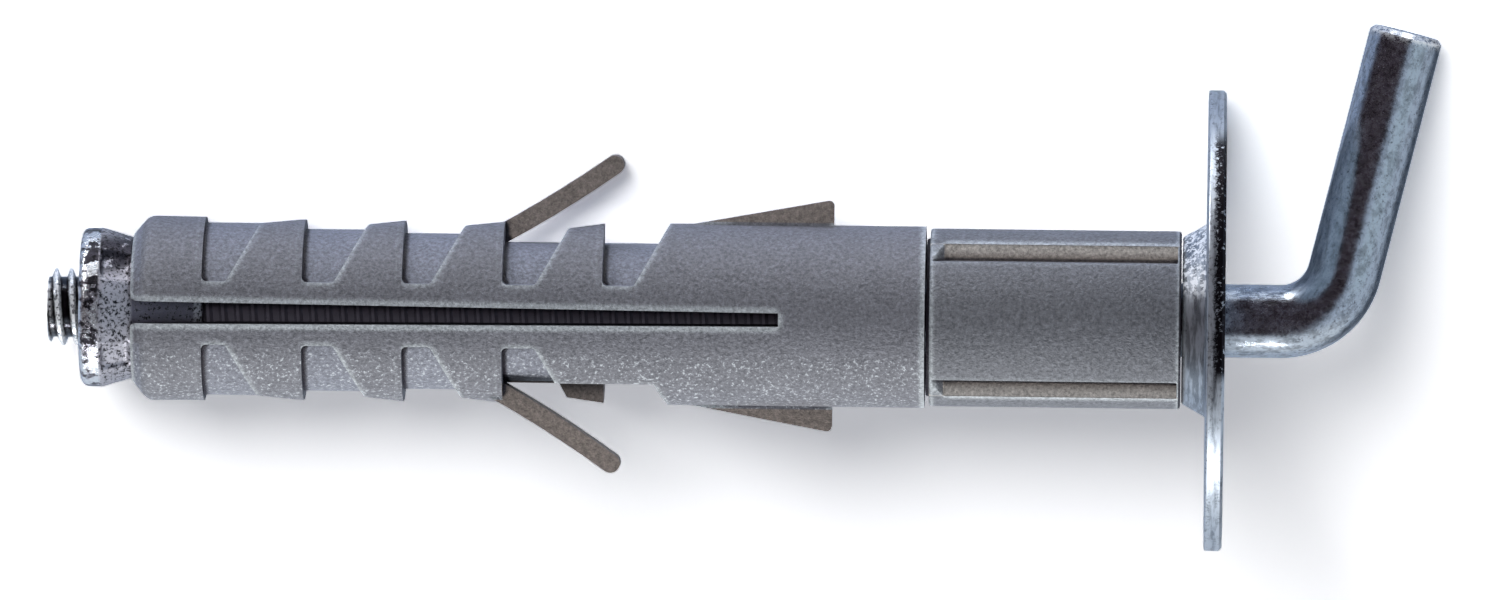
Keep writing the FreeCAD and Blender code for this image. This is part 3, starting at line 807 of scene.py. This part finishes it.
class OBJECT_OT_bolt_thread(bpy.types.Operator):
    """Models the rolled thread as one helical ridge, turned down to a bevelled tip"""

    bl_idname = "object.wall_plug_bolt_thread"
    bl_label = "Bolt Thread"

    def execute(self, context):
        crest = sizes().thread_radius
        length = sizes().thread_length
        # one pitch of the thread's profile, drawn with the -y row of a small grid
        bpy.ops.mesh.primitive_grid_add(
            x_subdivisions=5, y_subdivisions=1, size=THREAD_PITCH,
            location=(BOLT_TIP_X - THREAD_PITCH, 0, 0),
        )
        thread = context.object
        bpy.ops.object.transform_apply(location=True)
        edit(thread)
        select_vertices(thread, lambda co: co.y > 0)
        bpy.ops.mesh.delete(type="VERT")
        bpy.ops.mesh.select_all(action="SELECT")
        root_shift = THREAD_PITCH / 2 - (crest - sizes().thread_depth)
        bpy.ops.transform.translate(value=(0, root_shift, 0))
        middle_x = BOLT_TIP_X - THREAD_PITCH
        select_vertices(thread, lambda co: abs(co.x - middle_x) < THREAD_PITCH / 6)
        bpy.ops.transform.translate(value=(0, -sizes().thread_depth, 0))
        done()
        apply_modifier(
            thread, "SCREW", axis="X", angle=math.tau, screw_offset=THREAD_PITCH,
            iterations=math.ceil(length / THREAD_PITCH) + 3, steps=28, render_steps=28,
            use_merge_vertices=True, merge_threshold=0.004 * MM,
        )
        for plane, side in ((BOLT_TIP_X, 1), (BOLT_TIP_X + length, -1)):
            edit(thread)
            bpy.ops.mesh.select_all(action="SELECT")
            bpy.ops.mesh.bisect(
                plane_co=(plane, 0, 0), plane_no=(side, 0, 0), clear_inner=True, use_fill=True,
            )
            done()
        outward(thread)
        blank = self.turned_blank(context, crest, length)
        apply_modifier(thread, "BOOLEAN", operation="INTERSECT", object=blank, solver="EXACT")
        bpy.data.objects.remove(blank)
        outward(thread)
        into_place(thread)
        plate = plated_steel(
            "steel_rolled_thread_zinc_plated", ALONG_BOLT, 0.6, (0.1, 0.2), thread_marks,
        )
        finish_piece(
            thread, "bolt_thread", plate, "hook", "hook_bolt",
            smooth_angle=28.0,
        )
        return {"FINISHED"}

    def turned_blank(self, context, crest, length):
        """A cylinder a hair wider than the thread's crests, with its tip bevelled."""
        hair_wider = 1.0005
        blank_end = length + THREAD_PITCH
        bpy.ops.mesh.primitive_cylinder_add(
            vertices=96, radius=crest * hair_wider, depth=blank_end,
            location=(BOLT_TIP_X + blank_end / 2, 0, 0), rotation=(0, math.pi / 2, 0),
        )
        blank = context.object
        bpy.ops.object.transform_apply(location=True, rotation=True)
        edit(blank)
        select_vertices(blank, lambda co: co.x < BOLT_TIP_X + IN_PLANE)
        bpy.ops.mesh.bevel(offset=sizes().tip_chamfer, segments=1, affect="EDGES")
        done()
        return blank


class OBJECT_OT_cover_washer(bpy.types.Operator):
    """Finishes the pressed cover washer with rolled edges"""

    bl_idname = "object.wall_plug_cover_washer"
    bl_label = "Cover Washer"

    def execute(self, context):
        washer = softened(
            copy_of_node("cover_washer"), sizes().pressed_edge, angle=50.0, segments=4,
        )
        plate = plated_steel(
            "steel_pressed_zinc_plated", ROUND_BOLT, 0.8, (0.25, 0.45), washer_marks,
        )
        finish_piece(
            washer, "washer_plate", plate, "washer", "cover_washer",
        )
        return {"FINISHED"}


class OBJECT_OT_nylon_pieces(bpy.types.Operator):
    """Finishes the moulded plug, and the sleeve with soft moulded edges"""

    bl_idname = "object.wall_plug_nylon_pieces"
    bl_label = "Nylon Plug and Sleeve"

    def execute(self, context):
        plug = copy_of_node("expansion_plug")
        nylon = moulded_nylon("nylon_plug_grained", colours().nylon, plug_marks)
        finish_piece(plug, "plug_moulding", nylon, "plug", "expansion_plug")
        sleeve = softened(copy_of_node("spacer_sleeve"), sizes().moulded_edge)
        nylon = moulded_nylon("nylon_sleeve_grained", colours().sleeve_nylon, sleeve_marks)
        finish_piece(sleeve, "sleeve_moulding", nylon, "sleeve", "spacer_sleeve")
        return {"FINISHED"}


class OBJECT_OT_cone_nut(bpy.types.Operator):
    """Finishes the die-cast cone nut with its rough tumbled skin"""

    bl_idname = "object.wall_plug_cone_nut"
    bl_label = "Cone Nut"

    def execute(self, context):
        nut = copy_of_node("cone_nut")
        apply_modifier(nut, "REMESH", mode="VOXEL", voxel_size=CAST_VOXEL)
        apply_modifier(nut, "SMOOTH", factor=0.5, iterations=3)
        skin = bpy.data.textures.new("tumbled_skin", type="CLOUDS")
        skin.noise_scale = CAST_LUMP
        skin.noise_depth = 3
        apply_modifier(
            nut, "DISPLACE", texture=skin, texture_coords="LOCAL",
            strength=sizes().casting_grain, mid_level=1.0,
        )
        finish_piece(
            nut, "nut_casting", die_cast_zinc(), "nut", "cone_nut",
            smooth_angle=60.0,
        )
        return {"FINISHED"}


class OBJECT_OT_studio(bpy.types.Operator):
    """Sets the white table, the soft lights and the camera"""

    bl_idname = "object.wall_plug_studio"
    bl_label = "Studio"

    def execute(self, context):
        bpy.ops.mesh.primitive_plane_add(size=TABLE_WIDTH, location=(0, 0, 0))
        table = context.object
        table.name = "table"
        table.data.materials.append(white_table())
        table.visible_glossy = False
        table.visible_shadow = False
        self.lamp("key_lamp", KEY_FROM, 1.0, 12.0, "ffffff")
        self.lamp("arm_side_lamp", ARM_SIDE_FROM, 3.0, 30.0, "dfe8ff")
        self.lamp("near_side_lamp", NEAR_SIDE_FROM, 5.2, 25.0, "fffdf8")
        self.lamp("near_side_glint", NEAR_GLINT_FROM, 0.8, 12.0, "ffffff", glint=True)
        self.lamp("tip_side_glint", TIP_GLINT_FROM, 1.1, 12.0, "ffffff", glint=True)
        self.room()
        self.camera(context)
        context.scene.view_settings.view_transform = "Standard"
        return {"FINISHED"}

    def lamp(self, name, direction, strength, spread, colour, glint=False):
        """A distant lamp from a direction in the bolt's frame, its spread in degrees: it lights
        what is dull and leaves no glint, or the other way round."""
        bpy.ops.object.light_add(type="SUN")
        lamp = bpy.context.object
        lamp.name = name
        lamp.data.energy = strength
        lamp.data.color = linear(colour)[:3]
        lamp.data.angle = math.radians(spread)
        lamp.visible_glossy = glint
        lamp.visible_diffuse = not glint
        toward = (BOLT.to_3x3() @ direction).normalized()
        lamp.rotation_euler = toward.to_track_quat("Z", "Y").to_euler()

    def room(self):
        """The room: white to the camera, a soft light to dull surfaces, and to mirroring ones a
        dark card on the camera's side between pale flats."""
        world = bpy.data.worlds.new("studio_room")
        bpy.context.scene.world = world
        world.use_nodes = True
        world.cycles.sampling_method = "NONE"
        tree = world.node_tree
        tree.nodes.clear()
        look = add(tree, "ShaderNodeTexCoord").outputs["Generated"]
        right, up, toward = view_basis()
        # the room turns from pale at the lower right to a darker blue at the upper left
        slant = add(tree, "ShaderNodeVectorMath", {
            0: look, 1: up * 0.85 - right * 0.55,
        }, operation="DOT_PRODUCT").outputs["Value"]
        height = add(tree, "ShaderNodeMapRange", {
            "Value": slant, "From Min": -1.0, "From Max": 1.0,
        }).outputs["Result"]
        colour = add(tree, "ShaderNodeValToRGB", {"Fac": height}, stops=[
            (0.1, linear("b8c3d0")), (0.9, linear("94a3bd")),
        ]).outputs["Color"]
        across, lift, front = (
            add(tree, "ShaderNodeVectorMath", {
                0: look, 1: direction,
            }, operation="DOT_PRODUCT").outputs["Value"]
            for direction in (right, up, toward)
        )
        floor_flat = soft_mask(tree, (lift, -0.66, -0.80), (front, -0.5, -0.2))
        bend_flat = soft_mask(tree, (lift, 0.94, 0.97), (front, -0.1, 0.0), (across, -0.06, -0.14))
        end_flat = soft_mask(
            tree, (lift, 0.88, 0.92), (across, 0.14, 0.2), (across, 0.42, 0.36),
            (front, -0.3, -0.2), (front, 0.3, 0.2),
        )
        dark_card = soft_mask(
            tree, (across, -1.0, -0.97), (across, 0.36, 0.2), (lift, -0.82, -0.66),
            (lift, 0.98, 0.95), (front, -0.08, 0.06),
        )
        right_flat = soft_mask(tree, (across, 0.36, 0.6), (front, 0.1, 0.4), (lift, -0.5, -0.3))
        far_side = soft_mask(tree, (across, 0.2, 0.5), (front, -0.2, -0.6))
        # the last two, small flats that the bend and the arm's bevel mirror, outshine the rest
        for mask, shade in (
            (right_flat, linear("b9c8d2")), (far_side, linear("4e5866")),
            (floor_flat, linear("dde4ea")), (dark_card, linear("3a3037")),
            (bend_flat, grey(FLAT_GLARE)), (end_flat, grey(FLAT_GLARE)),
        ):
            colour = add(tree, "ShaderNodeMix", {
                "Factor": mask, "A": colour, "B": shade,
            }, data_type="RGBA").outputs["Result"]
        glossy = add(tree, "ShaderNodeBackground", {"Color": colour, "Strength": 1.0})
        soft = add(tree, "ShaderNodeBackground", {
            "Color": linear("f0f3fa"), "Strength": ROOM_LIGHT,
        })
        white = add(tree, "ShaderNodeBackground", {"Color": grey(1.0), "Strength": 1.0})
        path = add(tree, "ShaderNodeLightPath")
        lit = add(tree, "ShaderNodeMixShader", {
            "Fac": path.outputs["Is Glossy Ray"], 1: soft.outputs[0], 2: glossy.outputs[0],
        })
        seen = add(tree, "ShaderNodeMixShader", {
            "Fac": path.outputs["Is Camera Ray"], 1: lit.outputs[0], 2: white.outputs[0],
        })
        add(tree, "ShaderNodeOutputWorld", {"Surface": seen.outputs[0]})

    def camera(self, context):
        """A long lens, squarely over the hook's end, turned to the middle of the part."""
        bpy.ops.object.camera_add()
        camera = context.object
        camera.name = "camera"
        context.scene.camera = camera
        right, up, toward = view_basis()
        centre = BOLT.translation
        centre = centre + right * pixels(PHOTO_WIDTH / 2 - WALL_FACE_PIXEL[0])
        centre = centre + up * pixels(WALL_FACE_PIXEL[1] - PHOTO_HEIGHT / 2)
        station = centre + right * pixels(CAMERA_STATION_PIXEL - PHOTO_WIDTH / 2)
        station = station + toward * CAMERA_DISTANCE
        back = (station - centre).normalized()
        across = up.cross(back).normalized()
        matrix = Matrix((across, back.cross(across), back)).transposed().to_4x4()
        matrix.translation = station
        camera.matrix_world = matrix
        reach = (station - centre).length
        camera.data.sensor_width = 36.0
        camera.data.lens = camera.data.sensor_width * reach / pixels(PHOTO_WIDTH)
        camera.data.clip_start = 0.01
        camera.data.clip_end = 20.0


def pixels(count):
    """The length that a number of the photograph's pixels stands for at the part."""
    return count / PIXELS_PER_MM * MM


def view_basis():
    """The picture's right and up, and the direction to the camera, in the row's frame."""
    lift = math.radians(VIEW_ROLL)
    toward = Vector((0, math.sin(lift), math.cos(lift)))
    lean = math.atan(AXIS_SLOPE)
    along = Vector((1, 0, 0))
    across = toward.cross(along)
    right = along * math.cos(lean) + across * math.sin(lean)
    up = across * math.cos(lean) - along * math.sin(lean)
    turn = BOLT.to_3x3()
    return turn @ right, turn @ up, turn @ toward


PIECE_OPERATORS = (
    OBJECT_OT_hook_bar,
    OBJECT_OT_bolt_thread,
    OBJECT_OT_cover_washer,
    OBJECT_OT_nylon_pieces,
    OBJECT_OT_cone_nut,
    OBJECT_OT_studio,
)


class VIEW3D_PT_wall_plug(bpy.types.Panel):
    """Lists the pieces, sizes and colours of the wall plug"""

    bl_label = "Wall Plug"
    bl_idname = "VIEW3D_PT_wall_plug"
    bl_space_type = "VIEW_3D"
    bl_region_type = "UI"
    bl_category = "Wall Plug"

    def draw(self, context):
        layout = self.layout
        for operator in PIECE_OPERATORS:
            layout.operator(operator.bl_idname)
        for group in (sizes(), colours()):
            for name in group.__annotations__:
                layout.prop(group, name)


CLASSES = (PlugSizes, PlugColours, *PIECE_OPERATORS, VIEW3D_PT_wall_plug)


def register():
    """Registers the classes and the settings they read."""
    for entry in CLASSES:
        bpy.utils.register_class(entry)
    bpy.types.Scene.plug_sizes = bpy.props.PointerProperty(type=PlugSizes)
    bpy.types.Scene.plug_colours = bpy.props.PointerProperty(type=PlugColours)


def unregister():
    """Takes the settings and the classes away again."""
    del bpy.types.Scene.plug_colours
    del bpy.types.Scene.plug_sizes
    for entry in reversed(CLASSES):
        bpy.utils.unregister_class(entry)


def main():
    """Registers the classes, models every piece and sets the studio."""
    register()
    bpy.ops.object.wall_plug_hook_bar()
    bpy.ops.object.wall_plug_bolt_thread()
    bpy.ops.object.wall_plug_cover_washer()
    bpy.ops.object.wall_plug_nylon_pieces()
    bpy.ops.object.wall_plug_cone_nut()
    bpy.ops.object.wall_plug_studio()


if __name__ == "__main__":
    main()
